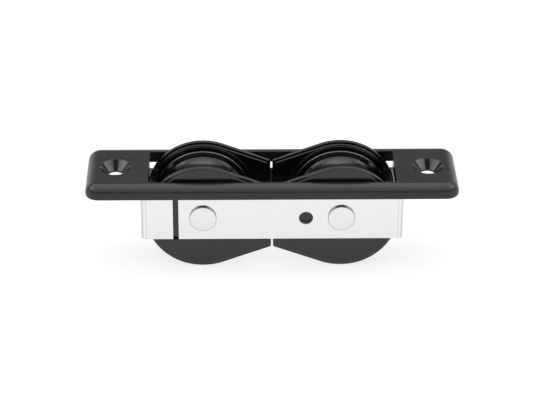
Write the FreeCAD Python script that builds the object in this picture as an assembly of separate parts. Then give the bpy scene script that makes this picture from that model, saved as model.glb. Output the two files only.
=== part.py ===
import FreeCAD, Part
import os
from math import acos, asin, atan2, cos, hypot, sin

os.makedirs("parts", exist_ok=True)

# Double through-deck lead block. Two sheaves turn between moulded cheeks, a bent metal strap
# holds the four cheeks, and a tongue at each of its ends is moulded into a bezel on the deck.
# Lengths are in millimetres. +X runs along the bezel and +Z is up. Z = 0 is the top of the deck,
# where the bezel's foot seats, and the origin lies midway between the two deck screws.

# Sheaves and what they turn on
axle_spacing = 50.4
axle_depth = 10.1
sheave_diameter = 35.0
sheave_width = 16.4
sheave_crest_width = 1.1
sheave_crest_bevel = 0.3
groove_flank_depth = 2.1
groove_flank_lean = 0.45
groove_hollow = 0.9
rim_depth = 4.6
web_thickness = 9.0
hub_diameter = 18.0
bush_diameter = 12.0
bush_running_clearance = 0.05
sleeve_diameter = 8.0
thrust_washer_diameter = 16.0
thrust_washer_thickness = 0.7
thrust_washer_play = 0.1

# Rivets that carry the sheaves and clamp the cheeks to the strap
rivet_diameter = 6.0
rivet_hole_clearance = 0.05
rivet_head_diameter = 9.9
rivet_head_height = 1.9
rivet_head_edge = 1.45
rivet_tail_diameter = 8.0
rivet_tail_height = 1.0
rivet_tail_edge = 0.45
rivet_washer_diameter = 9.9
rivet_washer_thickness = 0.8

# Cheeks, each a teardrop plate with a raised pad on both faces and a ring round the sheave
cheek_radius = 20.7
cheek_end_height = 25.4
cheek_slit = 0.7
cheek_rim_thickness = 1.4
cheek_inner_pad = 0.5
cheek_outer_pad = 0.45
cheek_pad_inset = 1.1
cheek_edge_bevel = 0.25
ring_diameter = 38.0
ring_height = 0.4
recess_diameter = 36.4
recess_depth = 0.6
sheave_side_gap = 0.5

# Strap, one band bent to a rectangle with an upright tongue on each end wall
strap_thickness = 1.2
strap_height = 17.5
strap_drop = 1.55
strap_proud = 0.1
strap_bend_radius = 0.8
strap_end_clearance = 0.8
strap_channel_clearance = 0.15
strap_seam_width = 2.0
strap_seam_place = -35.1
strap_hole_diameter = 5.2
strap_hole_place = 12.3
strap_hole_rise = -0.2
tongue_width = 13.0
tongue_cover = 1.5
tongue_key_diameter = 3.0
tongue_key_rise = 2.05

# Deck screws
screw_setout = 9.1
screw_hole_diameter = 5.2
countersink_diameter = 11.4
boss_diameter = 13.0
boss_setback = 1.5

# Bezel, the moulded frame on deck
bezel_end_margin = 10.5
bezel_rail_width = 4.5
bezel_height = 5.2
bezel_corner_radius = 4.8
bezel_top_radius = 3.9
bezel_foot_radius = 0.8
bezel_skin = 2.6
bezel_end_wall = 2.0
bezel_side_wall = 3.2
opening_side_clearance = 0.35
opening_end_lip = 1.9
opening_corner_radius = 0.8
opening_edge_radius = 0.3
rib_thickness = 1.4
socket_wall = 1.6
socket_width = 18.0

# How far a cutting tool reaches past the face that it opens
overcut = 1.0
# How closely an edge has to lie at a place to be picked for a fillet or a bevel
pick_tolerance = 0.001

# Places across the block, from the middle of the sheave outwards
recess_floor_y = sheave_width / 2 + sheave_side_gap
cheek_inner_y = recess_floor_y - recess_depth
pad_inner_y = cheek_inner_y + ring_height
rim_inner_y = pad_inner_y + cheek_inner_pad
rim_outer_y = rim_inner_y + cheek_rim_thickness
cheek_outer_y = rim_outer_y + cheek_outer_pad
strap_outer_y = cheek_outer_y + strap_proud
strap_inner_y = strap_outer_y - strap_thickness

# Places along and up the block
axle_x = axle_spacing / 2
axle_z = -axle_depth
strap_inner_x = axle_x + cheek_radius + strap_end_clearance
strap_outer_x = strap_inner_x + strap_thickness
strap_top_z = -strap_drop
strap_bottom_z = strap_top_z - strap_height
screw_x = strap_outer_x + screw_setout
bezel_half_length = screw_x + bezel_end_margin
opening_half_length = strap_inner_x - opening_end_lip
opening_half_width = strap_outer_y + opening_side_clearance
bezel_half_width = opening_half_width + bezel_rail_width
rivet_hole_radius = rivet_diameter / 2 + rivet_hole_clearance
sheave_radius = sheave_diameter / 2
hub_half_width = recess_floor_y - thrust_washer_thickness - thrust_washer_play


def point(x, y, z):
    return FreeCAD.Vector(x, y, z)


def line(start, end):
    return Part.makeLine(start, end)


def arc(start, middle, end):
    return Part.Arc(start, middle, end).toShape()


def prism(edges, direction):
    return Part.Face(Part.Wire(Part.__sortEdges__(edges))).extrude(direction)


def rod(radius, x, y_start, y_end):
    """A round bar or hole along Y at axle height."""
    return Part.makeCylinder(radius, y_end - y_start, point(x, y_start, axle_z), point(0, 1, 0))


def post(radius, x, z_start, z_end):
    """A round bar or hole along Z on the bezel's centre line."""
    return Part.makeCylinder(radius, z_end - z_start, point(x, 0, z_start))


def block(half_length, half_width, z_start, z_end):
    corner = point(-half_length, -half_width, z_start)
    return Part.makeBox(2 * half_length, 2 * half_width, z_end - z_start, corner)


def rounded_block(half_length, half_width, z_start, z_end, radius):
    body = block(half_length, half_width, z_start, z_end)
    uprights = [edge for edge in body.Edges if edge.BoundBox.ZLength > (z_end - z_start) / 2]
    return body.makeFillet(radius, uprights)


def level_edges(body, level, half_length=None):
    """The edges that lie flat at one height, all of them or those near the middle along X."""
    found = []
    for edge in body.Edges:
        box = edge.BoundBox
        flat = max(abs(box.ZMin - level), abs(box.ZMax - level)) < pick_tolerance
        if flat and (half_length is None or max(-box.XMin, box.XMax) < half_length):
            found.append(edge)
    return found


def mirrored_to_left(shape):
    return shape.mirror(point(0, 0, 0), point(1, 0, 0))


def mirrored_to_rear(shape):
    return shape.mirror(point(0, 0, 0), point(0, 1, 0))


def revolved_about_axle(profile):
    """Turn a closed outline of (y, radius) edges about the right axle."""
    face = Part.Face(Part.Wire(profile))
    return face.revolve(point(axle_x, 0, axle_z), point(0, 1, 0), 360)


def on_axle(y, radius):
    return point(axle_x, y, axle_z + radius)


def bezel_screw_end(sign):
    """One end's boss round the screw and the cross rib that joins it to the side walls."""
    x = sign * screw_x
    boss_top = bezel_height - bezel_skin / 2
    boss = post(boss_diameter / 2, x, boss_setback, boss_top)
    rib_reach = bezel_half_width - bezel_side_wall / 2
    rib = Part.makeBox(
        rib_thickness, 2 * rib_reach, boss_top - boss_setback,
        point(x - rib_thickness / 2, -rib_reach, boss_setback))
    return boss.fuse(rib)


def bezel_sockets():
    """Full-depth blocks under the skin at both ends of the opening, round the tongues."""
    outside = block(
        strap_outer_x + socket_wall, socket_width / 2, 0, bezel_height - bezel_skin / 2)
    inside = block(
        opening_half_length - socket_wall / 2, socket_width, -overcut, bezel_height + overcut)
    return outside.cut(inside)


def bezel_screw_hole(sign):
    """A clearance hole with a right-angled countersink that opens at the top face."""
    x = sign * screw_x
    depth = (countersink_diameter - screw_hole_diameter) / 2
    hole = post(screw_hole_diameter / 2, x, -overcut, bezel_height + overcut)
    cone = Part.makeCone(
        screw_hole_diameter / 2, countersink_diameter / 2, depth,
        point(x, 0, bezel_height - depth))
    return hole.fuse(cone)


def make_deck_bezel():
    body = rounded_block(bezel_half_length, bezel_half_width, 0, bezel_height, bezel_corner_radius)
    body = body.makeFillet(bezel_top_radius, level_edges(body, bezel_height))
    body = body.makeFillet(bezel_foot_radius, level_edges(body, 0))
    inner_corner = bezel_corner_radius - bezel_end_wall
    hollow = rounded_block(
        bezel_half_length - bezel_end_wall, bezel_half_width - bezel_side_wall,
        -overcut, bezel_height - bezel_skin, inner_corner)
    body = body.cut(hollow)
    body = body.fuse([bezel_screw_end(-1), bezel_screw_end(1), bezel_sockets()])
    opening = rounded_block(
        opening_half_length, opening_half_width, -overcut, bezel_height + overcut,
        opening_corner_radius)
    body = body.cut(opening)
    rim = level_edges(body, bezel_height, opening_half_length + pick_tolerance)
    body = body.makeFillet(opening_edge_radius, rim)
    tongue = strap_tongue()
    cutters = [bezel_screw_hole(-1), bezel_screw_hole(1), tongue, mirrored_to_left(tongue)]
    return body.cut(cutters).removeSplitter()


def strap_tongue():
    """The right end wall's upright tongue, with a hole that keys it into the bezel."""
    start_z = strap_top_z - strap_thickness
    tongue = Part.makeBox(
        strap_thickness, tongue_width, bezel_height - tongue_cover - start_z,
        point(strap_inner_x, -tongue_width / 2, start_z))
    key = Part.makeCylinder(
        tongue_key_diameter / 2, strap_thickness + 2 * overcut,
        point(strap_inner_x - overcut, 0, tongue_key_rise), point(1, 0, 0))
    return tongue.cut(key)


def make_strap():
    outer_bend = strap_bend_radius + strap_thickness
    band = rounded_block(strap_outer_x, strap_outer_y, strap_bottom_z, strap_top_z, outer_bend)
    inside = rounded_block(
        strap_inner_x, strap_inner_y, strap_bottom_z - overcut, strap_top_z + overcut,
        strap_bend_radius)
    band = band.cut(inside)
    tongue = strap_tongue()
    band = band.fuse([tongue, mirrored_to_left(tongue)])
    seam = Part.makeBox(
        strap_seam_width, strap_thickness + 2 * overcut, strap_height + 2 * overcut,
        point(strap_seam_place - strap_seam_width / 2, -strap_outer_y - overcut,
              strap_bottom_z - overcut))
    small_hole = Part.makeCylinder(
        strap_hole_diameter / 2, strap_thickness + 2 * overcut,
        point(strap_hole_place, -strap_outer_y - overcut, axle_z + strap_hole_rise),
        point(0, 1, 0))
    cutters = [seam, small_hole]
    for x in (-axle_x, axle_x):
        cutters.append(
            rod(rivet_hole_radius, x, -strap_outer_y - overcut, strap_outer_y + overcut))
    return band.cut(cutters).removeSplitter()


def teardrop(inset, y_start, y_end):
    """A right-hand cheek's outline, drawn in by an inset, as a plate between two places in Y."""
    reach = axle_x - cheek_slit / 2
    half_end = cheek_end_height / 2
    touch = atan2(half_end, reach) + acos(cheek_radius / hypot(reach, half_end))
    radius = cheek_radius - inset
    end_u = reach - inset
    end_w = (radius - end_u * cos(touch)) / sin(touch)
    corner_low = point(axle_x - end_u, y_start, axle_z - end_w)
    corner_high = point(axle_x - end_u, y_start, axle_z + end_w)
    touch_high = point(axle_x - radius * cos(touch), y_start, axle_z + radius * sin(touch))
    touch_low = point(axle_x - radius * cos(touch), y_start, axle_z - radius * sin(touch))
    far_side = point(axle_x + radius, y_start, axle_z)
    outline = [
        line(corner_low, corner_high),
        line(corner_high, touch_high),
        arc(touch_high, far_side, touch_low),
        line(touch_low, corner_low)]
    return prism(outline, point(0, y_end - y_start, 0))


def bevelled(plate, y):
    """Bevel a plate's outline where its face lies at one place in Y."""
    edges = []
    for edge in plate.Edges:
        box = edge.BoundBox
        if max(abs(box.YMin - y), abs(box.YMax - y)) < pick_tolerance:
            edges.append(edge)
    return plate.makeChamfer(cheek_edge_bevel, edges)


def right_rear_cheek_blank():
    """Rim, pads, ring, strap channel, sheave recess and rivet hole of the right rear cheek."""
    rim = teardrop(0, rim_inner_y, rim_outer_y)
    rim = bevelled(bevelled(rim, rim_outer_y), rim_inner_y)
    pads = teardrop(cheek_pad_inset, pad_inner_y, cheek_outer_y)
    pads = bevelled(bevelled(pads, pad_inner_y), cheek_outer_y)
    ring = rod(ring_diameter / 2, axle_x, cheek_inner_y, rim_inner_y)
    cheek = rim.fuse([pads, ring])
    channel = Part.makeBox(
        strap_outer_x, strap_thickness + overcut, strap_height + 2 * strap_channel_clearance,
        point(0, strap_inner_y, strap_bottom_z - strap_channel_clearance))
    recess = rod(recess_diameter / 2, axle_x, cheek_inner_y - overcut, recess_floor_y)
    hole = rod(rivet_hole_radius, axle_x, 0, strap_outer_y + overcut)
    return cheek.cut([channel, recess, hole]).removeSplitter()


def make_sheave():
    """Hub, thinner web and a rim with a broad, slightly hollow groove, turned about the axle."""
    face_y = sheave_width / 2
    web_y = web_thickness / 2
    rim_inner = sheave_radius - rim_depth
    groove_edge = face_y - sheave_crest_width
    groove_foot = groove_edge - groove_flank_lean
    foot_radius = sheave_radius - groove_flank_depth
    right_half = [
        (hub_half_width, bush_diameter / 2),
        (hub_half_width, hub_diameter / 2),
        (web_y, hub_diameter / 2),
        (web_y, rim_inner),
        (face_y, rim_inner),
        (face_y, sheave_radius - sheave_crest_bevel),
        (face_y - sheave_crest_bevel, sheave_radius),
        (groove_edge + sheave_crest_bevel, sheave_radius),
        (groove_edge, sheave_radius - sheave_crest_bevel),
        (groove_foot, foot_radius)]
    edges = []
    for sign in (1, -1):
        places = [on_axle(sign * y, radius) for y, radius in right_half]
        for start, end in zip(places, places[1:]):
            edges.append(line(start, end))
    hollow_middle = on_axle(0, foot_radius - groove_hollow)
    edges.append(arc(on_axle(groove_foot, foot_radius), hollow_middle,
                     on_axle(-groove_foot, foot_radius)))
    bore_radius = bush_diameter / 2
    edges.append(line(on_axle(hub_half_width, bore_radius), on_axle(-hub_half_width, bore_radius)))
    return revolved_about_axle(Part.__sortEdges__(edges))


def make_sheave_bush():
    bush = rod(bush_diameter / 2, axle_x, -hub_half_width, hub_half_width)
    bore = sleeve_diameter / 2 + bush_running_clearance
    return bush.cut(rod(bore, axle_x, -hub_half_width - overcut, hub_half_width + overcut))


def make_axle_sleeve():
    sleeve = rod(sleeve_diameter / 2, axle_x, -recess_floor_y, recess_floor_y)
    reach = recess_floor_y + overcut
    return sleeve.cut(rod(rivet_hole_radius, axle_x, -reach, reach))


def make_rear_thrust_washer():
    inner_y = recess_floor_y - thrust_washer_thickness
    bore = sleeve_diameter / 2 + bush_running_clearance
    washer = rod(thrust_washer_diameter / 2, axle_x, inner_y, recess_floor_y)
    return washer.cut(rod(bore, axle_x, inner_y - overcut, recess_floor_y + overcut))


def domed_head(diameter, height, edge, y, sign):
    """A spherical dome over a short straight edge, standing on a face at one place in Y."""
    radius = diameter / 2
    rise = height - edge
    ball = (radius ** 2 + rise ** 2) / (2 * rise)
    half_angle = asin(radius / ball) / 2
    rim_y = y + sign * edge
    middle_y = y + sign * (height - ball * (1 - cos(half_angle)))
    profile = [
        line(on_axle(y, 0), on_axle(y, radius)),
        line(on_axle(y, radius), on_axle(rim_y, radius)),
        arc(on_axle(rim_y, radius), on_axle(middle_y, ball * sin(half_angle)),
            on_axle(y + sign * height, 0)),
        line(on_axle(y + sign * height, 0), on_axle(y, 0))]
    return revolved_about_axle(profile)


def make_axle_rivet():
    """A shank with its made head in front and its closed tail over the washer behind."""
    tail_y = strap_outer_y + rivet_washer_thickness
    shank = rod(rivet_diameter / 2, axle_x, -strap_outer_y, tail_y)
    head = domed_head(rivet_head_diameter, rivet_head_height, rivet_head_edge, -strap_outer_y, -1)
    tail = domed_head(rivet_tail_diameter, rivet_tail_height, rivet_tail_edge, tail_y, 1)
    return shank.fuse([head, tail]).removeSplitter()


def make_rivet_washer():
    end_y = strap_outer_y + rivet_washer_thickness
    washer = rod(rivet_washer_diameter / 2, axle_x, strap_outer_y, end_y)
    return washer.cut(rod(rivet_hole_radius, axle_x, strap_outer_y - overcut, end_y + overcut))


def export(name, shape):
    shape.exportStep("parts/" + name + ".step")


def export_pair(name, right_shape):
    """Write the right-hand piece and its mirror image on the left."""
    export("right_" + name, right_shape)
    export("left_" + name, mirrored_to_left(right_shape))


export("deck_bezel", make_deck_bezel())
export("strap", make_strap())
rear_cheek = right_rear_cheek_blank()
export_pair("rear_cheek", rear_cheek)
export_pair("front_cheek", mirrored_to_rear(rear_cheek))
export_pair("sheave", make_sheave())
export_pair("sheave_bush", make_sheave_bush())
export_pair("axle_sleeve", make_axle_sleeve())
rear_washer = make_rear_thrust_washer()
export_pair("rear_thrust_washer", rear_washer)
export_pair("front_thrust_washer", mirrored_to_rear(rear_washer))
export_pair("axle_rivet", make_axle_rivet())
export_pair("rivet_washer", make_rivet_washer())
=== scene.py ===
import math

import bmesh
import bpy
import numpy as np
from bpy.props import FloatProperty, FloatVectorProperty, IntProperty, PointerProperty
from mathutils import Matrix, Vector


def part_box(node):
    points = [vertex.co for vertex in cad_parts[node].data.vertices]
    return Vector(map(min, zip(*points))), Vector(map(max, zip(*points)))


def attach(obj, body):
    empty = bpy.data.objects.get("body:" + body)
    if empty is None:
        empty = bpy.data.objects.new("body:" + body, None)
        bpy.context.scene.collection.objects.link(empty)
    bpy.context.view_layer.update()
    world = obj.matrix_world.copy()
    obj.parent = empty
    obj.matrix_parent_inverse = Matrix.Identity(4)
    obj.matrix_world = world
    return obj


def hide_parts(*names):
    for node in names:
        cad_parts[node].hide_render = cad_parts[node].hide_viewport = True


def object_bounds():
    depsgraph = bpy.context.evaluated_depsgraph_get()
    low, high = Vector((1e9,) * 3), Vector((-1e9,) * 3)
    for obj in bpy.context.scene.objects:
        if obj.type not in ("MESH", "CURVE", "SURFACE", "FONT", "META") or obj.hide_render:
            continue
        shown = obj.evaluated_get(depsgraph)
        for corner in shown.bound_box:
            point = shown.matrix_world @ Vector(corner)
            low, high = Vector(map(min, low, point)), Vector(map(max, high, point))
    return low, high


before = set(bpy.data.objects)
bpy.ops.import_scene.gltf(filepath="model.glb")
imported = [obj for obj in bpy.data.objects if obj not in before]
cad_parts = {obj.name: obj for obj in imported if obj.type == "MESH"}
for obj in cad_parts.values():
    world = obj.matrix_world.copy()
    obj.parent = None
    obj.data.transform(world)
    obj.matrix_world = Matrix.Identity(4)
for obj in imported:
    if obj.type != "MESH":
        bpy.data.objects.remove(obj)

bl_info = {
    "name": "Through-deck Lead Block",
    "version": (1, 0, 0),
    "blender": (4, 5, 0),
    "location": "View3D > Sidebar > Lead Block",
    "description": "Dresses a double through-deck lead block in moulded, turned and pressed finishes",
    "category": "Object",
}

SIDES = ("left", "right")
PLACES = ("front", "rear")
# Grey of the backdrop that camera and gloss see, from the horizon at 0 to the zenith at 1,
# behind the block and on the camera's side
BACKDROP_BEHIND = ((0.0, 1.0), (0.2, 1.0), (0.38, 0.45), (0.48, 0.22), (0.62, 0.1), (1.0, 0.1))
BACKDROP_BEFORE = (
    (0.0, 1.4), (0.16, 1.3), (0.3, 0.95), (0.39, 0.7), (0.45, 0.03), (0.57, 0.03), (0.62, 1.3),
    (0.7, 1.5), (0.81, 1.8), (0.84, 0.08), (1.0, 0.08))
# Softboxes: where each hangs, what it is aimed at, and its width and height, in metres
TOP_SOFTBOX = ((0.0, 0.225, 0.9), (0.0, 0.225, 0.0), 1.8, 1.35)
LEFT_SOFTBOX = ((-0.75, 0.07, 0.58), (0.0, 0.0, 0.0), 0.45, 0.3)
RIGHT_SOFTBOX = ((0.75, 0.07, 0.58), (0.0, 0.0, 0.0), 0.45, 0.3)
# How closely two places on a cheek or the strap have to agree to be the same, in metres
TOUCH = 0.00002
# Points nearer than this are made one, in metres: in the copy of a node, and where a grid closes
SAME_POINT = 0.000002
SAME_POLE = 0.0000001
# Neighbouring faces that turn by less than this, in degrees, are one flat face
FLAT = 0.2
# Edges that turn by more than this, in degrees, are rounded: on the strap, whose bends are made
# of narrow facets, by more than the second
CREASE = 30.0
STRAP_CREASE = 40.0
# Edges that turn by more than this, in degrees, are sharp on a turned piece and a rounded one
TURNED_SHARP = 35.0
STILL_SHARP = 38.0
# Facets across the rounding of an edge, and across that of a cheek's
EDGE_FACETS = 3
CHEEK_FACETS = 5
# Points along the curves of a section: a rounded corner, the groove, a dome and its shoulder
CORNER_POINTS = 6
GROOVE_POINTS = 17
DOME_POINTS = 24
SHOULDER_POINTS = 12
# Rings and spokes of the floor
FLOOR_RINGS = 24
FLOOR_SPOKES = 96
# Finer layers within a noise, for a slow change and for a grain
CLOUD_LAYERS = 2.0
GRAIN_LAYERS = 3.0
# Brush strokes to a metre of the strap along X, Y and Z
STRAP_STROKES = (35.0, 35.0, 6000.0)
CAD_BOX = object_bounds()


def span(node, axis):
    """How long a node is along one axis, 0 for X, 1 for Y and 2 for Z."""
    low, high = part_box(node)
    return high[axis] - low[axis]


def length(name, about, default):
    return FloatProperty(
        name=name, description=about, default=default, min=0.0, unit="LENGTH", precision=6)


def share(name, about, default):
    return FloatProperty(
        name=name, description=about, default=default, min=0.0, max=1.0, subtype="FACTOR")


def colour(name, about, default):
    return FloatVectorProperty(
        name=name, description=about, default=default, size=3, min=0.0, max=1.0, subtype="COLOR")


def amount(name, about, default, largest):
    return FloatProperty(name=name, description=about, default=default, min=0.0, max=largest)


def tilt(name, about, degrees):
    return FloatProperty(
        name=name, description=about, default=math.radians(degrees), subtype="ANGLE")


def facets(name, about, default):
    return IntProperty(name=name, description=about, default=default, min=24, max=512)


class MouldedPlastic(bpy.types.PropertyGroup):
    """Colours and textures of the plastic pieces, and the places of the countersinks."""

    bezel_colour: colour("Bezel colour", "Body colour of the deck bezel", (0.0125, 0.0128, 0.013))
    bezel_roughness: share("Bezel roughness", "How matt the bezel is", 0.28)
    bezel_specular: share("Bezel specular", "How strongly the bezel reflects", 0.46)
    bezel_grain: length("Bezel grain", "Size of one cell of the bezel's eroded grain", 0.0007)
    bezel_relief: length("Bezel relief", "Height of the bezel's grain", 0.00002)
    bezel_mottle: amount("Bezel mottle", "How strongly the grain changes its tone", 3.2, 10.0)
    bezel_edge_round: length("Bezel edge round", "Rounding on the bezel's edges", 0.00012)
    screw_spacing: length("Screw spacing", "Between the axes of the two deck screws", 0.114)
    countersink_diameter: length("Countersink diameter", "Countersinks at the top face", 0.0114)
    countersink_roughness: share("Countersink roughness", "How matt the countersinks are", 0.08)
    cheek_colour: colour("Cheek colour", "Body colour of the cheeks", (0.007, 0.0072, 0.0075))
    cheek_roughness: share("Cheek roughness", "How matt the cheeks are", 0.13)
    cheek_specular: share("Cheek specular", "How strongly the cheeks reflect", 0.58)
    cheek_grain: length("Cheek grain", "Size of one cell of the cheeks' grain", 0.0005)
    cheek_relief: length("Cheek relief", "Height of the cheeks' grain", 0.000002)
    cheek_mottle: amount("Cheek mottle", "How strongly the grain changes their tone", 1.0, 10.0)
    sheave_colour: colour("Sheave colour", "Body colour of the sheaves", (0.005, 0.005, 0.0051))
    sheave_roughness: share("Sheave roughness", "How matt the turned sheaves are", 0.14)
    sheave_grain: length("Sheave grain", "Width of the fine rings left by turning", 0.00022)
    sheave_relief: length("Sheave relief", "Height of those rings", 0.0000015)
    sheave_cloud: length("Sheave cloud", "Size of the slow changes of the sheaves' tone", 0.004)
    washer_colour: colour("Thrust washer colour", "Body colour of the washers", (0.62, 0.6, 0.54))
    washer_roughness: share("Thrust washer roughness", "How matt the washers are", 0.42)
    washer_specular: share("Thrust washer specular", "How strongly the washers reflect", 0.4)
    washer_grain: length("Thrust washer grain", "Size of one cell of their grain", 0.0004)
    washer_relief: length("Thrust washer relief", "Height of that grain", 0.000003)
    washer_mottle: amount("Thrust washer mottle", "How strongly it changes their tone", 1.0, 10.0)
    cloud: length("Cloud", "Size of the slow changes of tone in bezel, cheeks and washers", 0.009)


class MetalFinish(bpy.types.PropertyGroup):
    """Colours and textures of the metal pieces, and where on the strap they change."""

    strap_colour: colour("Strap colour", "Reflection colour of the strap", (0.78, 0.78, 0.79))
    strap_roughness: share("Strap roughness", "How dull the strap's fine brushing is", 0.14)
    strap_relief: length("Strap relief", "Height of the brush strokes", 0.0000004)
    strap_cloud: length("Strap cloud", "Size of the slow changes of the strap's tone", 0.012)
    strap_thickness: length("Strap thickness", "Thickness of the sheet it is bent from", 0.0012)
    strap_bend: length("Strap bend", "Outer radius of the strap's bends", 0.002)
    # Painted shade on the strap's bends, standing in for their darker reflection: the width of the
    # painted line where each bend begins, and the bends' colour as a share of the strap's
    bend_shade_line: length("Bend line", "Width of the line where each bend begins", 0.00035)
    bend_shade_tone: share("Bend tone", "Colour of the bends as a share of the strap's", 0.82)
    hole_place: length("Hole place", "From the block's middle to the small hole", 0.0123)
    hole_depth: length("Hole depth", "From the deck down to the small hole's axis", 0.0103)
    hole_diameter: length("Hole diameter", "Diameter of the small hole", 0.0052)
    hole_roughness: share("Hole roughness", "How dull the small hole's sheared wall is", 0.6)
    inner_roughness: share("Inner roughness", "How dull the strap's inner face is", 0.5)
    # Painted shade on the strap's inner face, where little light reaches: its colour as a share of
    # the outer face's
    inner_shade_tone: share("Inner tone", "Inner face's colour as a share of the outer one's", 0.12)
    rivet_colour: colour("Rivet colour", "Reflection colour of the rivets", (0.76, 0.76, 0.77))
    rivet_roughness: share("Rivet roughness", "How dull rivets and their washers are", 0.13)
    rivet_grain: length("Rivet grain", "Size of one cell of their grain", 0.0004)
    rivet_relief: length("Rivet relief", "Height of that grain", 0.0000008)
    # Painted shade round the edge of each rivet head, where it meets the strap: its width, and its
    # colour as a share of the head's
    shade_rim_width: length("Rim width", "Width of the dark rim round each head", 0.00022)
    shade_rim_tone: share("Rim tone", "Colour of that rim as a share of the head's", 0.45)
    sleeve_colour: colour("Sleeve colour", "Reflection colour of the sleeves", (0.8, 0.8, 0.82))
    sleeve_roughness: share("Sleeve roughness", "How dull the ground sleeves are", 0.14)
    sleeve_grain: length("Sleeve grain", "Size of one cell of the sleeves' grain", 0.0002)
    sleeve_relief: length("Sleeve relief", "Height of the sleeves' grain", 0.0000005)
    bush_colour: colour("Bush colour", "Reflection colour of the bushes", (0.72, 0.5, 0.28))
    bush_roughness: share("Bush roughness", "How dull the sintered bushes are", 0.38)
    bush_grain: length("Bush grain", "Size of one cell of the bushes' grain", 0.00012)
    bush_relief: length("Bush relief", "Height of the bushes' grain", 0.000003)
    cloud: length("Cloud", "Size of the slow changes of tone in rivets, sleeves and bushes", 0.003)


class SheaveSection(bpy.types.PropertyGroup):
    """Sizes of the turned section that the sheaves are revolved from."""

    hub_diameter: length("Hub diameter", "Outside of the hub round the bush", 0.018)
    web_thickness: length("Web thickness", "Thickness between hub and rim", 0.009)
    rim_depth: length("Rim depth", "Depth of the rim, from crest to its inside", 0.0046)
    crest_width: length("Crest width", "Width of each crest beside the groove", 0.0011)
    crest_round: length("Crest round", "Rounding on both sides of each crest", 0.00042)
    flank_depth: length("Flank depth", "Depth of the groove's steep flanks", 0.0021)
    flank_lean: length("Flank lean", "How far each flank leans inwards", 0.00045)
    hollow: length("Hollow", "How much deeper the groove is at its middle", 0.0009)
    foot_round: length("Foot round", "Rounding between flank and groove bottom", 0.0001)
    edge_round: length("Edge round", "Rounding on hub, web and rim", 0.0003)
    steps: facets("Steps", "Facets round one sheave", 192)


class CheekEdges(bpy.types.PropertyGroup):
    """Where the cheeks' rims lie and how much their edges are rounded."""

    rim_depth: length("Rim depth", "From the outer face in to the rim's inner wall", 0.00185)
    rim_setback: length("Rim setback", "From the outer face in to the rim's outer wall", 0.00045)
    rim_bevel: length("Rim bevel", "Bevel on the rim's edges that the rounding replaces", 0.00025)
    rim_round: length("Rim round", "Rounding of the rim's two edges", 0.0005)
    cheek_edge_round: length("Cheek edge round", "Rounding on the other edges", 0.00016)


class FormedMetal(bpy.types.PropertyGroup):
    """Sizes of the rivets, their washers and the broken edges of the strap."""

    shank_diameter: length("Shank diameter", "Diameter of each rivet's shank", 0.006)
    tail_diameter: length("Tail diameter", "Diameter of each closed tail", 0.008)
    head_height: length("Head height", "Height of each head on the strap", 0.00135)
    head_edge: length("Head edge", "Straight edge below each head's dome", 0.0009)
    head_round: length("Head round", "Rounding where a head's dome meets its edge", 0.00012)
    tail_edge: length("Tail edge", "Straight edge below each tail's dome", 0.00045)
    tail_round: length("Tail round", "Rounding where a tail's dome meets its edge", 0.00018)
    tumbled_round: length("Tumbled round", "Rounding on strap and rivet washers", 0.00012)
    steps: facets("Steps", "Facets round one rivet", 128)


class StudioSettings(bpy.types.PropertyGroup):
    """The floor, the lamps and the camera."""

    camera_azimuth: tilt("Camera azimuth", "Turn of the camera about Z", -1.3566)
    camera_elevation: tilt("Camera elevation", "Height of the camera over the horizon", 30.6407)
    camera_roll: tilt("Camera roll", "Turn of the camera about its own axis", 0.4355)
    camera_distance: length("Camera distance", "From the camera to its target", 0.75041)
    camera_target: FloatVectorProperty(
        name="Camera target", description="The point in the middle of the picture",
        default=(-0.00024, 0.0, -0.00908), size=3, subtype="TRANSLATION", precision=5)
    focal_length: FloatProperty(
        name="Focal length", description="Lens of the camera, in millimetres on a 36 mm sensor",
        default=135.39, min=10.0, max=300.0)
    floor_radius: length("Floor radius", "Radius of the round pale floor", 3.0)
    floor_colour: colour("Floor colour", "The floor as scattered light finds it", (0.8, 0.8, 0.8))
    floor_seen: colour("Floor as seen", "The floor's own colour as the camera sees it", (0.28,) * 3)
    floor_glow: share("Floor glow", "Light that the floor adds for camera and gloss", 0.8)
    floor_cloud: length("Floor cloud", "Size of the slow changes of the floor's gloss", 0.2)
    sky_strength: share("Sky strength", "Fill light from all round", 0.1)
    top_lamp_power: amount("Top lamp power", "Softbox overhead, in watts", 15.0, 200.0)
    side_lamp_power: amount("Side lamp power", "Softbox at each end, in watts", 1.4, 200.0)


class Wire:
    """A socket in a shader sum. Each operator adds the Math node that works it out."""

    def __init__(self, finish, socket):
        self.finish = finish
        self.socket = socket

    def sum_with(self, operation, first, second):
        return self.finish.add(
            "ShaderNodeMath", {"operation": operation}, {0: first, 1: second}, "Value")

    def __add__(self, other):
        return self.sum_with("ADD", self, other)

    def __radd__(self, other):
        return self.sum_with("ADD", other, self)

    def __sub__(self, other):
        return self.sum_with("SUBTRACT", self, other)

    def __rsub__(self, other):
        return self.sum_with("SUBTRACT", other, self)

    def __mul__(self, other):
        return self.sum_with("MULTIPLY", self, other)

    def __rmul__(self, other):
        return self.sum_with("MULTIPLY", other, self)

    def __pow__(self, other):
        return self.sum_with("POWER", self, other)

    def __lt__(self, other):
        return self.sum_with("LESS_THAN", self, other)

    def __abs__(self):
        return self.finish.add("ShaderNodeMath", {"operation": "ABSOLUTE"}, {0: self}, "Value")


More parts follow.
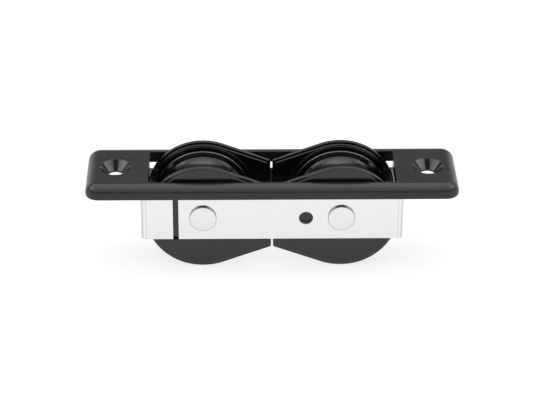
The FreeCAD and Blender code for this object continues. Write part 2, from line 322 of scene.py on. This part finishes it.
class Finish:
    """A node tree, built by one method that adds a node, sets it and joins its sockets."""

    def __init__(self, tree):
        self.tree = tree
        self.tree.nodes.clear()

    def add(self, kind, settings, sockets, output=None):
        """Add one node and give back the named output as a Wire, or several names as several."""
        node = self.tree.nodes.new(kind)
        for name, value in settings.items():
            if name == "stops":
                set_stops(node.color_ramp, value)
            else:
                setattr(node, name, value)
        for name, value in sockets.items():
            if isinstance(value, Wire):
                self.tree.links.new(value.socket, node.inputs[name])
            else:
                node.inputs[name].default_value = value
        if isinstance(output, tuple):
            return [Wire(self, node.outputs[name]) for name in output]
        return None if output is None else Wire(self, node.outputs[output])

    def place(self):
        """Object coordinates, which stay with the piece as it turns."""
        return self.add("ShaderNodeTexCoord", {}, {}, "Object")

    def parts(self, vector):
        """The X, Y and Z of a vector."""
        return self.add("ShaderNodeSeparateXYZ", {}, {"Vector": vector}, ("X", "Y", "Z"))

    def noise(self, vector, cell, layers):
        """Noise with lumps of about one cell, given in metres, and finer layers within them."""
        return self.add(
            "ShaderNodeTexNoise", {}, {"Vector": vector, "Scale": 1.0 / cell, "Detail": layers},
            "Fac")

    def stretched(self, vector, location, scale):
        """The vector scaled along each axis, then moved."""
        return self.add(
            "ShaderNodeMapping", {"vector_type": "POINT"},
            {"Vector": vector, "Location": location, "Scale": scale}, "Vector")

    def from_axle(self, vector, axle):
        """The vector measured from an axle that crosses the XZ plane at the place given."""
        return self.stretched(vector, (-axle[0], 0.0, -axle[1]), (1.0, 1.0, 1.0))

    def off_axis(self, first, second):
        """How far a point is from an axis, by its two coordinates across it."""
        return (first * first + second * second) ** 0.5

    def mixed(self, slow, fine, fine_share):
        """A slow and a fine noise in one, with this share of the fine one."""
        return slow * (1.0 - fine_share) + fine * fine_share

    def tint(self, factor, dark, light):
        """A colour between two, by a factor."""
        return self.add(
            "ShaderNodeMix", {"data_type": "RGBA"}, {0: factor, 6: dark, 7: light}, 2)

    def shades(self, factor, rgb, dark, light):
        """A colour that runs from a darker share of rgb to a lighter one with a factor."""
        return self.tint(factor, opaque(rgb, dark), opaque(rgb, light))

    def relief(self, height, depth):
        """A bump whose full height is depth metres."""
        return self.add(
            "ShaderNodeBump", {}, {"Height": height, "Distance": depth, "Strength": 1.0}, "Normal")

    def between(self, factor, low, high):
        """A number that runs from low to high with a factor."""
        return low + (high - low) * factor

    def around(self, factor, middle, below, above):
        """A number that runs from below the middle to above it with a factor."""
        return self.between(factor, middle - below, middle + above)

    def where(self, mask, inside, outside):
        """One number where a mask is one, and another where it is zero."""
        return outside * (1.0 - mask) + inside * mask


def set_stops(ramp, stops):
    """Give a ramp its stops, each a place and a grey level."""
    while len(ramp.elements) > 1:
        ramp.elements.remove(ramp.elements[-1])
    for index, (place, level) in enumerate(stops):
        element = ramp.elements[0] if index == 0 else ramp.elements.new(place)
        element.position = place
        element.color = (level, level, level, 1.0)


def opaque(rgb, factor=1.0):
    """A colour with its alpha, made lighter or darker by a factor."""
    return tuple(min(1.0, c * factor) for c in rgb) + (1.0,)


def start_finish(name):
    """A new material and the Finish that builds its nodes."""
    material = bpy.data.materials.new(name)
    material.use_nodes = True
    return material, Finish(material.node_tree)


def close_finish(finish, sockets):
    """Send one principled surface, with these sockets, to the material's output."""
    surface = finish.add("ShaderNodeBsdfPrincipled", {}, sockets, "BSDF")
    finish.add("ShaderNodeOutputMaterial", {}, {"Surface": surface})


def traits(group, piece, *names):
    """A group's values for one kind of piece, whose names begin with that kind."""
    return [getattr(group, piece + "_" + name) for name in names]


def inside_countersinks(finish, place, plastic):
    """One within the countersinks' radius of both screw axes, and zero outside it."""
    x, y, _ = finish.parts(place)
    from_screw = finish.off_axis(abs(x) - plastic.screw_spacing / 2, y)
    return from_screw < plastic.countersink_diameter / 2


def grained_plastic(name, plastic, piece, countersunk=False):
    """Moulded plastic: a grain in tone, gloss and bump, with slow changes of tone and gloss.

    Countersinks are as smooth as the pins that moulded them.
    """
    rgb, roughness, specular, grain, relief, mottle = traits(
        plastic, piece, "colour", "roughness", "specular", "grain", "relief", "mottle")
    material, finish = start_finish(name)
    place = finish.place()
    cells = finish.noise(place, grain, GRAIN_LAYERS)
    cloud = finish.noise(place, plastic.cloud, CLOUD_LAYERS)
    blotch = (finish.mixed(cloud, cells, fine_share=0.7) - 0.5) * mottle + 0.5
    change = finish.mixed(cloud, cells, fine_share=0.5)
    gloss = finish.around(change, roughness, below=0.05, above=0.07)
    if countersunk:
        smooth = inside_countersinks(finish, place, plastic)
        gloss = finish.where(smooth, plastic.countersink_roughness, gloss)
        cells = cells * (1.0 - smooth)
    close_finish(finish, {
        "Base Color": finish.shades(blotch, rgb, dark=0.6, light=1.44),
        "Roughness": gloss,
        "IOR": 1.5,
        "Specular IOR Level": specular,
        "Normal": finish.relief(cells, relief),
    })
    return material


def turned_plastic(name, plastic, axle):
    """Black turned plastic: fine rings about the axle, which follow the section."""
    rgb, roughness, grain, relief, cloud = traits(
        plastic, "sheave", "colour", "roughness", "grain", "relief", "cloud")
    material, finish = start_finish(name)
    place = finish.from_axle(finish.place(), axle)
    x, y, z = finish.parts(place)
    section = finish.add(
        "ShaderNodeCombineXYZ", {}, {"X": finish.off_axis(x, z), "Y": y}, "Vector")
    rings = finish.noise(section, grain, CLOUD_LAYERS)
    patches = finish.noise(place, cloud, CLOUD_LAYERS)
    change = finish.mixed(patches, rings, fine_share=0.6)
    close_finish(finish, {
        "Base Color": finish.shades(patches, rgb, dark=0.8, light=1.25),
        "Roughness": finish.around(change, roughness, below=0.06, above=0.08),
        "IOR": 1.58,
        "Specular IOR Level": 1.0,
        "Normal": finish.relief(rings, relief),
    })
    return material


def within_strap(finish, place, thickness):
    """One on the inner half of the strap's long walls, where it is made rougher and painted with
    shade, and zero on the rest of it.
    """
    x, y, _ = finish.parts(place)
    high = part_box("strap")[1]
    return (abs(x) < high.x - 3 * thickness) * (abs(y) < high.y - thickness / 2)


def painted_bend_shade(finish, place, metal):
    """Where shade is painted on the strap: one on the outer half of the four bends and on a line
    where each begins, else zero.
    """
    x, y, _ = finish.parts(place)
    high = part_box("strap")[1]
    start = high.x - metal.strap_bend
    beyond = 1.0 - (abs(x) < start + metal.strap_bend / 2)
    line = abs(abs(x) - start) < metal.bend_shade_line / 2
    return (beyond + line) * (1.0 - (abs(y) < high.y - metal.strap_bend))


def hole_wall(finish, place, metal):
    """One on the wall of the small hole in the strap's front, and zero on the rest of it."""
    x, y, z = finish.parts(place)
    from_axis = finish.off_axis(x - metal.hole_place, z + metal.hole_depth)
    return (from_axis < metal.hole_diameter / 2 + TOUCH) * (y < 0.0)


def brushed_steel(name, metal):
    """Rolled stainless sheet: long fine strokes, which lie level on every wall of the strap.

    The inner face keeps the dull skin of the rolled sheet and is painted much darker as shade, and
    the bends are painted a little darker as shade for their darker reflection.
    """
    rgb, roughness, relief, cloud_size = traits(
        metal, "strap", "colour", "roughness", "relief", "cloud")
    material, finish = start_finish(name)
    place = finish.place()
    sheared = hole_wall(finish, place, metal)
    # Mask of the inner face: rougher, and painted with shade where little light reaches
    dull = within_strap(finish, place, metal.strap_thickness) * (1.0 - sheared)
    stroked = finish.stretched(place, (0.0, 0.0, 0.0), STRAP_STROKES)
    strokes = finish.noise(stroked, 1.0, GRAIN_LAYERS)
    cloud = finish.noise(place, cloud_size, CLOUD_LAYERS)
    tone = finish.shades(
        finish.mixed(cloud, strokes, fine_share=0.5), rgb, dark=0.95, light=1.03)
    # Painted shade on the bends, which stands in for their darker reflection
    tone = finish.tint(painted_bend_shade(finish, place, metal), tone, opaque(rgb, metal.bend_shade_tone))
    # Painted shade: the inner face much darker, where the strap's walls and the cheeks keep the light
    # off
    tone = finish.tint(dull, tone, opaque(rgb, metal.inner_shade_tone))
    gloss = finish.around(
        finish.mixed(cloud, strokes, fine_share=0.7), roughness, below=0.07, above=0.09)
    gloss = finish.where(dull, metal.inner_roughness, gloss)
    gloss = finish.where(sheared, metal.hole_roughness, gloss)
    close_finish(finish, {
        "Base Color": tone,
        "Metallic": 1.0,
        "Roughness": gloss,
        "Normal": finish.relief(strokes, relief),
    })
    return material


def speckled_metal(name, metal, piece):
    """Ground or sintered metal with a fine grain and a slow change of tone."""
    rgb, roughness, grain, relief = traits(metal, piece, "colour", "roughness", "grain", "relief")
    material, finish = start_finish(name)
    place = finish.place()
    cells = finish.noise(place, grain, GRAIN_LAYERS)
    cloud = finish.noise(place, metal.cloud, CLOUD_LAYERS)
    change = finish.mixed(cloud, cells, fine_share=0.5)
    close_finish(finish, {
        "Base Color": finish.shades(change, rgb, dark=0.92, light=1.05),
        "Metallic": 1.0,
        "Roughness": finish.around(cells, roughness, below=0.05, above=0.07),
        "Normal": finish.relief(cells, relief),
    })
    return material


def formed_steel(name, metal, axle, radius):
    """Formed rivet steel: bright and smooth, with painted shade in a thin dark rim round each head's
    edge, where head and strap meet.
    """
    rgb, roughness, grain, relief = traits(
        metal, "rivet", "colour", "roughness", "grain", "relief")
    material, finish = start_finish(name)
    place = finish.place()
    cells = finish.noise(place, grain, GRAIN_LAYERS)
    cloud = finish.noise(place, metal.cloud, CLOUD_LAYERS)
    x, _, z = finish.parts(finish.from_axle(place, axle))
    # Painted shade: a thin darker rim at the edge of each head
    centre = finish.off_axis(x, z) < radius - metal.shade_rim_width
    tone = finish.shades(cloud, rgb, dark=0.94, light=1.04)
    close_finish(finish, {
        "Base Color": finish.tint(centre, opaque(rgb, metal.shade_rim_tone), tone),
        "Metallic": 1.0,
        "Roughness": finish.around(cells, roughness, below=0.04, above=0.05),
        "Normal": finish.relief(cells, relief),
    })
    return material


def dress(piece, material):
    """Give a piece its only material."""
    piece.data.materials.clear()
    piece.data.materials.append(material)


def softened_copy(node, name, round_size, crease=CREASE):
    """A node's surface with its triangles joined into flat faces and its sharp edges rounded."""
    mesh = bpy.data.meshes.new(name)
    work = bmesh.new()
    work.from_mesh(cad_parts[node].data)
    bmesh.ops.remove_doubles(work, verts=work.verts, dist=SAME_POINT)
    bmesh.ops.dissolve_limit(
        work, angle_limit=math.radians(FLAT), verts=work.verts, edges=work.edges)
    work.to_mesh(mesh)
    work.free()
    mesh.shade_smooth()
    mesh.set_sharp_from_angle(angle=math.radians(crease))
    piece = bpy.data.objects.new(name, mesh)
    bpy.context.scene.collection.objects.link(piece)
    bevel = piece.modifiers.new("rounded_edges", "BEVEL")
    bevel.width = round_size
    bevel.segments = EDGE_FACETS
    bevel.limit_method = "ANGLE"
    bevel.angle_limit = math.radians(crease)
    bevel.use_clamp_overlap = True
    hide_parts(node)
    return piece


def settle_rounding(piece):
    """Make the rounding part of the mesh, mark what is still sharp and level the flat faces."""
    view = bpy.context.evaluated_depsgraph_get()
    mesh = bpy.data.meshes.new_from_object(piece.evaluated_get(view))
    piece.modifiers.clear()
    piece.data = mesh
    mesh.shade_smooth()
    mesh.set_sharp_from_angle(angle=math.radians(STILL_SHARP))
    shading = piece.modifiers.new("level_normals", "WEIGHTED_NORMAL")
    shading.keep_sharp = True


def restore_corners(mesh, rim, bevel):
    """Turn the narrow bevels along the two sides of a rim back into corners.

    A bevel joins a point p of the rim's wall to a point q of its top. Both go to the corner
    (x of q, y of p, z of q). Gives back one for each point that moved and zero for the rest.
    """
    points = np.empty((len(mesh.vertices), 3))
    ends = np.empty((len(mesh.edges), 2), int)
    mesh.vertices.foreach_get("co", points.ravel())
    mesh.edges.foreach_get("vertices", ends.ravel())
    depth = np.abs(points[:, 1])
    moved = np.zeros(len(points))
    for wall, top in ((rim[0], rim[0] + bevel), (rim[1], rim[1] - bevel)):
        for near, far in (ends.T, ends.T[::-1]):
            aside = np.hypot(*(points[near] - points[far])[:, ::2].T)
            pick = (np.abs(depth[near] - wall) < TOUCH) & (np.abs(depth[far] - top) < TOUCH)
            pick &= (aside > bevel - TOUCH) & (aside < 2 * bevel)
            near, far = near[pick], far[pick]
            points[near, 0], points[near, 2] = points[far, 0], points[far, 2]
            points[far, 1] = points[near, 1]
            moved[near] = moved[far] = 1.0
    mesh.vertices.foreach_set("co", points.ravel())
    return moved


def rounded_cheek(node, name, sizes):
    """A cheek with well rounded rims, and a smaller rounding on its other outward edges."""
    piece = softened_copy(node, name, sizes.rim_round)
    mesh = piece.data
    outside = max(abs(corner.y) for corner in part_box(node))
    rim = (outside - sizes.rim_depth, outside - sizes.rim_setback)
    moved = restore_corners(mesh, rim, sizes.rim_bevel)
    mesh.attributes.new("corner", "FLOAT", "POINT").data.foreach_set("value", moved)
    work = bmesh.new()
    work.from_mesh(mesh)
    bmesh.ops.remove_doubles(work, verts=work.verts, dist=SAME_POINT)
    corner = work.verts.layers.float["corner"]
    weight = work.edges.layers.float.new("bevel_weight_edge")
    for edge in work.edges:
        if edge.is_convex and edge.calc_face_angle() > math.radians(CREASE):
            on_rim = all(vert[corner] > 0.5 for vert in edge.verts)
            edge[weight] = 1.0 if on_rim else sizes.cheek_edge_round / sizes.rim_round
    work.verts.layers.float.remove(corner)
    work.to_mesh(mesh)
    work.free()
    mesh.shade_smooth()
    mesh.set_sharp_from_angle(angle=math.radians(CREASE))
    rounding = piece.modifiers["rounded_edges"]
    rounding.limit_method = "WEIGHT"
    rounding.use_clamp_overlap = False
    rounding.segments = CHEEK_FACETS
    return piece


def arc_points(centre, radius, start, end, count):
    """Points at even angles on a circle, centre + radius * (cos, sin)."""
    angle = np.linspace(start, end, count)
    return np.stack([centre[0] + radius * np.cos(angle), centre[1] + radius * np.sin(angle)], 1)


def rounded_section(corners, rounds):
    """A polygon whose corners are replaced by arcs, each of its own radius or none.

    An arc of radius r at a corner that turns by t starts r * tan(t / 2) before the corner
    and ends as far after it. Its middle lies on the corner's bisector, r / cos(t / 2) away.
    From there, its point at a part p of the turn is
    (sin((1 - p) * t) * start + sin(p * t) * end) / sin(t).
    """
    corners = np.asarray(corners, float)
    before = np.roll(corners, 1, 0) - corners
    after = np.roll(corners, -1, 0) - corners
    before /= np.linalg.norm(before, axis=1)[:, None]
    after /= np.linalg.norm(after, axis=1)[:, None]
    half = np.arccos(np.clip((before * after).sum(1), -1.0, 1.0)) / 2
    bisector = before + after
    size = np.linalg.norm(bisector, axis=1)
    bisector /= np.where(size < SAME_POLE, 1.0, size)[:, None]
    points = []
    for corner, inward, towards, leaving, angle, radius in zip(
            corners, bisector, before, after, half, rounds):
        if radius <= 0.0:
            points.append(corner[None])
            continue
        middle = corner + inward * radius / math.sin(angle)
        start = corner + towards * radius / math.tan(angle) - middle
        end = corner + leaving * radius / math.tan(angle) - middle
        turn = math.pi - 2 * angle
        part = np.linspace(0.0, 1.0, CORNER_POINTS)[:, None]
        blend = np.sin((1 - part) * turn) * start + np.sin(part * turn) * end
        points.append(middle + blend / math.sin(turn))
    return np.concatenate(points)


def grid_faces(rows, columns, closed):
    """Quads over a grid whose columns close on each other, as do its rows where closed is set.

    Quad (i, j) joins the points (i, j), (i, j + 1), (i + 1, j + 1) and (i + 1, j).
    """
    point = np.arange(rows * columns).reshape(rows, columns)
    beside = np.roll(point, -1, 1)
    quads = np.stack([point, beside, np.roll(beside, -1, 0), np.roll(point, -1, 0)], 2)
    return quads[:rows if closed else rows - 1].reshape(-1, 4)


def gridded_mesh(name, grid, faces, turn_out):
    """A mesh of a grid's points and quads, with its poles closed, and turned outwards if asked."""
    mesh = bpy.data.meshes.new(name)
    mesh.from_pydata(grid.reshape(-1, 3).tolist(), [], faces.tolist())
    work = bmesh.new()
    work.from_mesh(mesh)
    bmesh.ops.remove_doubles(work, verts=work.verts, dist=SAME_POLE)
    if turn_out:
        bmesh.ops.recalc_face_normals(work, faces=work.faces)
    work.to_mesh(mesh)
    work.free()
    return mesh


def turned_piece(name, section, closed, axle, steps):
    """A section of (y, radius) pairs swept about the axle.

    Point (i, j) is (axle_x + r_i * sin(a_j), y_i, axle_z + r_i * cos(a_j)), for even angles a_j.
    """
    angle = np.linspace(0.0, 2 * math.pi, steps, endpoint=False)
    y, radius = section[:, 0, None], section[:, 1, None]
    grid = np.empty((len(section), steps, 3))
    grid[..., 0] = axle[0] + radius * np.sin(angle)
    grid[..., 1] = y
    grid[..., 2] = axle[1] + radius * np.cos(angle)
    mesh = gridded_mesh(name, grid, grid_faces(len(section), steps, closed), True)
    mesh.shade_smooth()
    mesh.set_sharp_from_angle(angle=math.radians(TURNED_SHARP))
    piece = bpy.data.objects.new(name, mesh)
    bpy.context.scene.collection.objects.link(piece)
    return piece


def axle_place(side):
    """Where a side's axle crosses the XZ plane."""
    low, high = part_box(side + "_axle_sleeve")
    return (low.x + high.x) / 2, (low.z + high.z) / 2


def sheave_section(side, sizes):
    """The sheave's closed section: bore, hub, web, rim, crest and hollow groove, mirrored in Y.

    The hollow is an arc between the feet of the flanks, of radius (f^2 + h^2) / 2h, where f is
    half the way between the feet and h is how much deeper the middle is.
    """
    radius = span(side + "_sheave", 0) / 2
    face = span(side + "_sheave", 1) / 2
    bore = span(side + "_sheave_bush", 0) / 2
    hub_end = span(side + "_sheave_bush", 1) / 2
    hub = sizes.hub_diameter / 2
    web = sizes.web_thickness / 2
    rim = radius - sizes.rim_depth
    groove = face - sizes.crest_width
    foot_y = groove - sizes.flank_lean
    foot_radius = radius - sizes.flank_depth
    ball = (foot_y ** 2 + sizes.hollow ** 2) / (2 * sizes.hollow)
    middle = foot_radius + ball - sizes.hollow
    reach = math.asin((foot_y - 2 * sizes.foot_round) / ball)
    down = -math.pi / 2
    hollow = arc_points((0.0, middle), ball, down + reach, down - reach, GROOVE_POINTS)
    half = [
        (hub_end, bore, sizes.edge_round),
        (hub_end, hub, sizes.edge_round),
        (web, hub, 2 * sizes.edge_round),
        (web, rim, 2 * sizes.edge_round),
        (face, rim, sizes.edge_round),
        (face, radius, sizes.crest_round),
        (groove, radius, sizes.crest_round),
        (foot_y, foot_radius, sizes.foot_round)]
    corners = [(y, r) for y, r, _ in half] + [tuple(p) for p in hollow]
    corners += [(-y, r) for y, r, _ in reversed(half)]
    rounds = [size for _, _, size in half] + [0.0] * len(hollow)
    rounds += [size for _, _, size in reversed(half)]
    return rounded_section(corners, rounds)


def domed_end(y, diameter, height, edge, round_size, sign):
    """From a head's underside to its apex: a straight edge, a rounding and a shallow dome.

    The dome is part of a ball of radius (r^2 + h^2) / 2h, where r is the head's radius and h is
    how far the dome rises above the edge. The rounding is a parabola,
    (1-t)^2 start + 2t(1-t) shoulder + t^2 end, for t from 0 to 1.
    """
    radius = diameter / 2
    rise = height - edge
    ball = (radius ** 2 + rise ** 2) / (2 * rise)
    slope = math.asin(radius / ball)
    angle = np.linspace(slope * (1 - round_size / radius), 0.0, DOME_POINTS)
    dome = np.stack([y + sign * (height - ball * (1 - np.cos(angle))), ball * np.sin(angle)], 1)
    shoulder = np.array((y + sign * edge, radius))
    start, end = shoulder - np.array((sign * round_size, 0.0)), dome[0]
    bend = np.linspace(0.0, 1.0, SHOULDER_POINTS)[1:-1, None]
    bow = (1 - bend) ** 2 * start + 2 * bend * (1 - bend) * shoulder + bend ** 2 * end
    return np.concatenate([[(y, radius)], [start], bow, dome])


def rivet_section(side, sizes):
    """The rivet's section from its front apex to its rear apex, round head, shank and tail."""
    low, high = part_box(side + "_axle_rivet")
    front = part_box("strap")[0].y
    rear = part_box(side + "_rivet_washer")[1].y
    shank = sizes.shank_diameter / 2
    head = domed_end(
        front, high.x - low.x, sizes.head_height, sizes.head_edge, sizes.head_round, -1)
    tail = domed_end(
        rear, sizes.tail_diameter, high.y - rear, sizes.tail_edge, sizes.tail_round, 1)
    return np.concatenate([head[::-1], [(front, shank), (rear, shank)], tail])


class DressBezel(bpy.types.Operator):
    """Round the bezel's edges and give it an eroded black grain."""

    bl_idname = "lead_block.dress_bezel"
    bl_label = "Deck bezel"

    def execute(self, context):
        plastic = context.scene.moulded_plastic
        piece = softened_copy("deck_bezel", "bezel_moulding", plastic.bezel_edge_round)
        settle_rounding(piece)
        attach(piece, "frame")
        material = grained_plastic("Bezel plastic", plastic, "bezel", countersunk=True)
        dress(piece, material)
        return {"FINISHED"}


class DressCheeks(bpy.types.Operator):
    """Round the edges of the four cheeks and give them a smoother black finish."""

    bl_idname = "lead_block.dress_cheeks"
    bl_label = "Cheeks"

    def execute(self, context):
        material = grained_plastic("Cheek plastic", context.scene.moulded_plastic, "cheek")
        for side in SIDES:
            for place in PLACES:
                node = side + "_" + place + "_cheek"
                piece = rounded_cheek(node, node + "_moulding", context.scene.cheek_edges)
                settle_rounding(piece)
                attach(piece, "frame")
                dress(piece, material)
        return {"FINISHED"}


class DressStrap(bpy.types.Operator):
    """Break the strap's sheared edges and brush it along its length."""

    bl_idname = "lead_block.dress_strap"
    bl_label = "Strap"

    def execute(self, context):
        piece = softened_copy(
            "strap", "strap_band", context.scene.formed_metal.tumbled_round, STRAP_CREASE)
        settle_rounding(piece)
        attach(piece, "frame")
        dress(piece, brushed_steel("Strap steel", context.scene.metal_finish))
        return {"FINISHED"}


class TurnSheaves(bpy.types.Operator):
    """Turn both sheaves from one rounded section, each on its own wheel."""

    bl_idname = "lead_block.turn_sheaves"
    bl_label = "Sheaves"

    def execute(self, context):
        plastic = context.scene.moulded_plastic
        sizes = context.scene.sheave_section
        for side in SIDES:
            axle = axle_place(side)
            piece = turned_piece(
                side + "_sheave_turned", sheave_section(side, sizes), True, axle, sizes.steps)
            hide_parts(side + "_sheave")
            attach(piece, side + "_wheel")
            material = turned_plastic(side.capitalize() + " sheave plastic", plastic, axle)
            dress(piece, material)
        return {"FINISHED"}


class FormRivets(bpy.types.Operator):
    """Form both rivets with domed heads, and round their washers."""

    bl_idname = "lead_block.form_rivets"
    bl_label = "Rivets"

    def execute(self, context):
        metal = context.scene.metal_finish
        sizes = context.scene.formed_metal
        for side in SIDES:
            axle = axle_place(side)
            material = formed_steel(
                side.capitalize() + " rivet steel", metal, axle, span(side + "_axle_rivet", 0) / 2)
            rivet = turned_piece(
                side + "_rivet_formed", rivet_section(side, sizes), False, axle, sizes.steps)
            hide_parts(side + "_axle_rivet")
            washer = softened_copy(
                side + "_rivet_washer", side + "_rivet_washer_pressed", sizes.tumbled_round)
            settle_rounding(washer)
            for piece in (rivet, washer):
                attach(piece, "frame")
                dress(piece, material)
        return {"FINISHED"}


class DressAxleParts(bpy.types.Operator):
    """Finish the sleeves, bushes and thrust washers inside the sheaves."""

    bl_idname = "lead_block.dress_axle_parts"
    bl_label = "Axle parts"

    def execute(self, context):
        metal = context.scene.metal_finish
        sleeve = speckled_metal("Sleeve steel", metal, "sleeve")
        bush = speckled_metal("Bush bronze", metal, "bush")
        washer = grained_plastic(
            "Thrust washer plastic", context.scene.moulded_plastic, "washer")
        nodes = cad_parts
        for side in SIDES:
            dress(nodes[side + "_axle_sleeve"], sleeve)
            dress(nodes[side + "_sheave_bush"], bush)
            for place in PLACES:
                dress(nodes[side + "_" + place + "_thrust_washer"], washer)
        return {"FINISHED"}


class SetStudio(bpy.types.Operator):
    """Lay the pale floor, hang the softboxes, and set the camera and the view."""

    bl_idname = "lead_block.set_studio"
    bl_label = "Studio"

    def execute(self, context):
        studio = context.scene.studio_settings
        lay_floor(studio)
        fill_sky(studio)
        hang_softbox("Top softbox", TOP_SOFTBOX, studio.top_lamp_power)
        hang_softbox("Left softbox", LEFT_SOFTBOX, studio.side_lamp_power)
        hang_softbox("Right softbox", RIGHT_SOFTBOX, studio.side_lamp_power)
        set_camera(context.scene, studio)
        context.scene.view_settings.view_transform = "Standard"
        return {"FINISHED"}


def lay_floor(studio):
    """A round floor under the block's lowest point, on rings that lie closer near its middle.

    Point (i, j) is (r_i * cos(a_j), r_i * sin(a_j), level), for even angles a_j.
    """
    radius = studio.floor_radius * np.linspace(0.0, 1.0, FLOOR_RINGS)[:, None] ** 2
    angle = np.linspace(0.0, 2 * math.pi, FLOOR_SPOKES, endpoint=False)
    level = np.full((FLOOR_RINGS, FLOOR_SPOKES), CAD_BOX[0].z)
    grid = np.stack([radius * np.cos(angle), radius * np.sin(angle), level], 2)
    facing_up = grid_faces(FLOOR_RINGS, FLOOR_SPOKES, False)[:, ::-1]
    mesh = gridded_mesh("studio_floor", grid, facing_up, False)
    floor = bpy.data.objects.new("studio_floor", mesh)
    bpy.context.scene.collection.objects.link(floor)
    material, finish = start_finish("Studio floor")
    seen = seen_directly(finish)
    glow = finish.tint(seen, opaque((0.0, 0.0, 0.0)), opaque((studio.floor_glow,) * 3))
    cloud = finish.noise(finish.place(), studio.floor_cloud, CLOUD_LAYERS)
    close_finish(finish, {
        "Base Color": finish.tint(seen, opaque(studio.floor_colour), opaque(studio.floor_seen)),
        "Roughness": finish.between(cloud, low=0.85, high=0.95),
        "Specular IOR Level": 0.0,
        "Emission Color": glow,
        "Emission Strength": 1.0,
    })
    mesh.materials.append(material)


def seen_directly(finish):
    """One for what the camera, gloss and clear materials see, and zero for scattered light."""
    camera, gloss, clear = finish.add(
        "ShaderNodeLightPath", {}, {}, ("Is Camera Ray", "Is Glossy Ray", "Is Transmission Ray"))
    whole = camera + gloss + clear
    return finish.add("ShaderNodeMath", {"operation": "MINIMUM"}, {0: whole, 1: 1.0}, "Value")


def fill_sky(studio):
    """An even pale fill for scattered light, and a graded backdrop where it is seen directly.

    The backdrop's grey depends on the direction's height z, and is mixed by 0.5 - y from the
    greys behind the block and those on the camera's side.
    """
    world = bpy.data.worlds.new("Studio sky")
    world.use_nodes = True
    finish = Finish(world.node_tree)
    seen = seen_directly(finish)
    direction = finish.add("ShaderNodeTexCoord", {}, {}, "Generated")
    _, y, z = finish.parts(direction)
    behind, before = (
        finish.add("ShaderNodeValToRGB", {"stops": stops}, {"Fac": z}, "Color")
        for stops in (BACKDROP_BEHIND, BACKDROP_BEFORE))
    backdrop = finish.tint(0.5 - y, behind, before)
    shade = finish.tint(seen, opaque((studio.sky_strength,) * 3), backdrop)
    light = finish.add(
        "ShaderNodeBackground", {}, {"Color": shade, "Strength": 1.0}, "Background")
    finish.add("ShaderNodeOutputWorld", {}, {"Surface": light})
    bpy.context.scene.world = world


def hang_softbox(name, softbox, power):
    """A rectangular lamp at one place, aimed at another."""
    place, target, width, height = softbox
    lamp = bpy.data.lights.new(name, "AREA")
    lamp.shape = "RECTANGLE"
    lamp.size = width
    lamp.size_y = height
    lamp.energy = power
    holder = bpy.data.objects.new(name, lamp)
    holder.location = place
    aim = Vector(target) - Vector(place)
    holder.rotation_euler = aim.to_track_quat("-Z", "Y").to_euler()
    bpy.context.scene.collection.objects.link(holder)


def set_camera(scene, studio):
    """A camera turned about its target by azimuth and elevation, then about itself by its roll."""
    a, e, r = studio.camera_azimuth, studio.camera_elevation, studio.camera_roll
    ahead = Vector((-math.sin(a) * math.cos(e), math.cos(a) * math.cos(e), -math.sin(e)))
    level = Vector((math.cos(a), math.sin(a), 0.0))
    upright = level.cross(ahead)
    across = math.cos(r) * level + math.sin(r) * upright
    up = math.cos(r) * upright - math.sin(r) * level
    data = bpy.data.cameras.new("Photo camera")
    data.lens = studio.focal_length
    data.sensor_width = 36.0
    data.clip_start = 0.01
    data.clip_end = 20.0
    camera = bpy.data.objects.new("Photo camera", data)
    turn = Matrix((across, up, -ahead)).transposed().to_4x4()
    turn.translation = Vector(studio.camera_target) - ahead * studio.camera_distance
    camera.matrix_world = turn
    scene.collection.objects.link(camera)
    scene.camera = camera


class LeadBlockPanel(bpy.types.Panel):
    """The pieces of the block, in the sidebar of the 3D view."""

    bl_idname = "VIEW3D_PT_lead_block"
    bl_label = "Lead Block"
    bl_space_type = "VIEW_3D"
    bl_region_type = "UI"
    bl_category = "Lead Block"

    def draw(self, context):
        for operator in OPERATORS:
            self.layout.operator(operator.bl_idname)
        for name in GROUPS:
            group = getattr(context.scene, name)
            for field in group.bl_rna.properties:
                if field.identifier not in ("rna_type", "name"):
                    self.layout.prop(group, field.identifier)


GROUPS = {
    "moulded_plastic": MouldedPlastic,
    "metal_finish": MetalFinish,
    "sheave_section": SheaveSection,
    "cheek_edges": CheekEdges,
    "formed_metal": FormedMetal,
    "studio_settings": StudioSettings,
}
OPERATORS = (
    DressBezel, DressCheeks, DressStrap, TurnSheaves, FormRivets, DressAxleParts, SetStudio)


def register():
    for group in GROUPS.values():
        bpy.utils.register_class(group)
    for name, group in GROUPS.items():
        setattr(bpy.types.Scene, name, PointerProperty(type=group))
    for operator in OPERATORS:
        bpy.utils.register_class(operator)
    bpy.utils.register_class(LeadBlockPanel)


def unregister():
    bpy.utils.unregister_class(LeadBlockPanel)
    for operator in reversed(OPERATORS):
        bpy.utils.unregister_class(operator)
    for name, group in GROUPS.items():
        delattr(bpy.types.Scene, name)
        bpy.utils.unregister_class(group)


def main():
    """Make every piece and the studio."""
    register()
    bpy.ops.lead_block.set_studio()
    bpy.ops.lead_block.dress_bezel()
    bpy.ops.lead_block.dress_cheeks()
    bpy.ops.lead_block.dress_strap()
    bpy.ops.lead_block.turn_sheaves()
    bpy.ops.lead_block.form_rivets()
    bpy.ops.lead_block.dress_axle_parts()


if __name__ == "__main__":
    main()
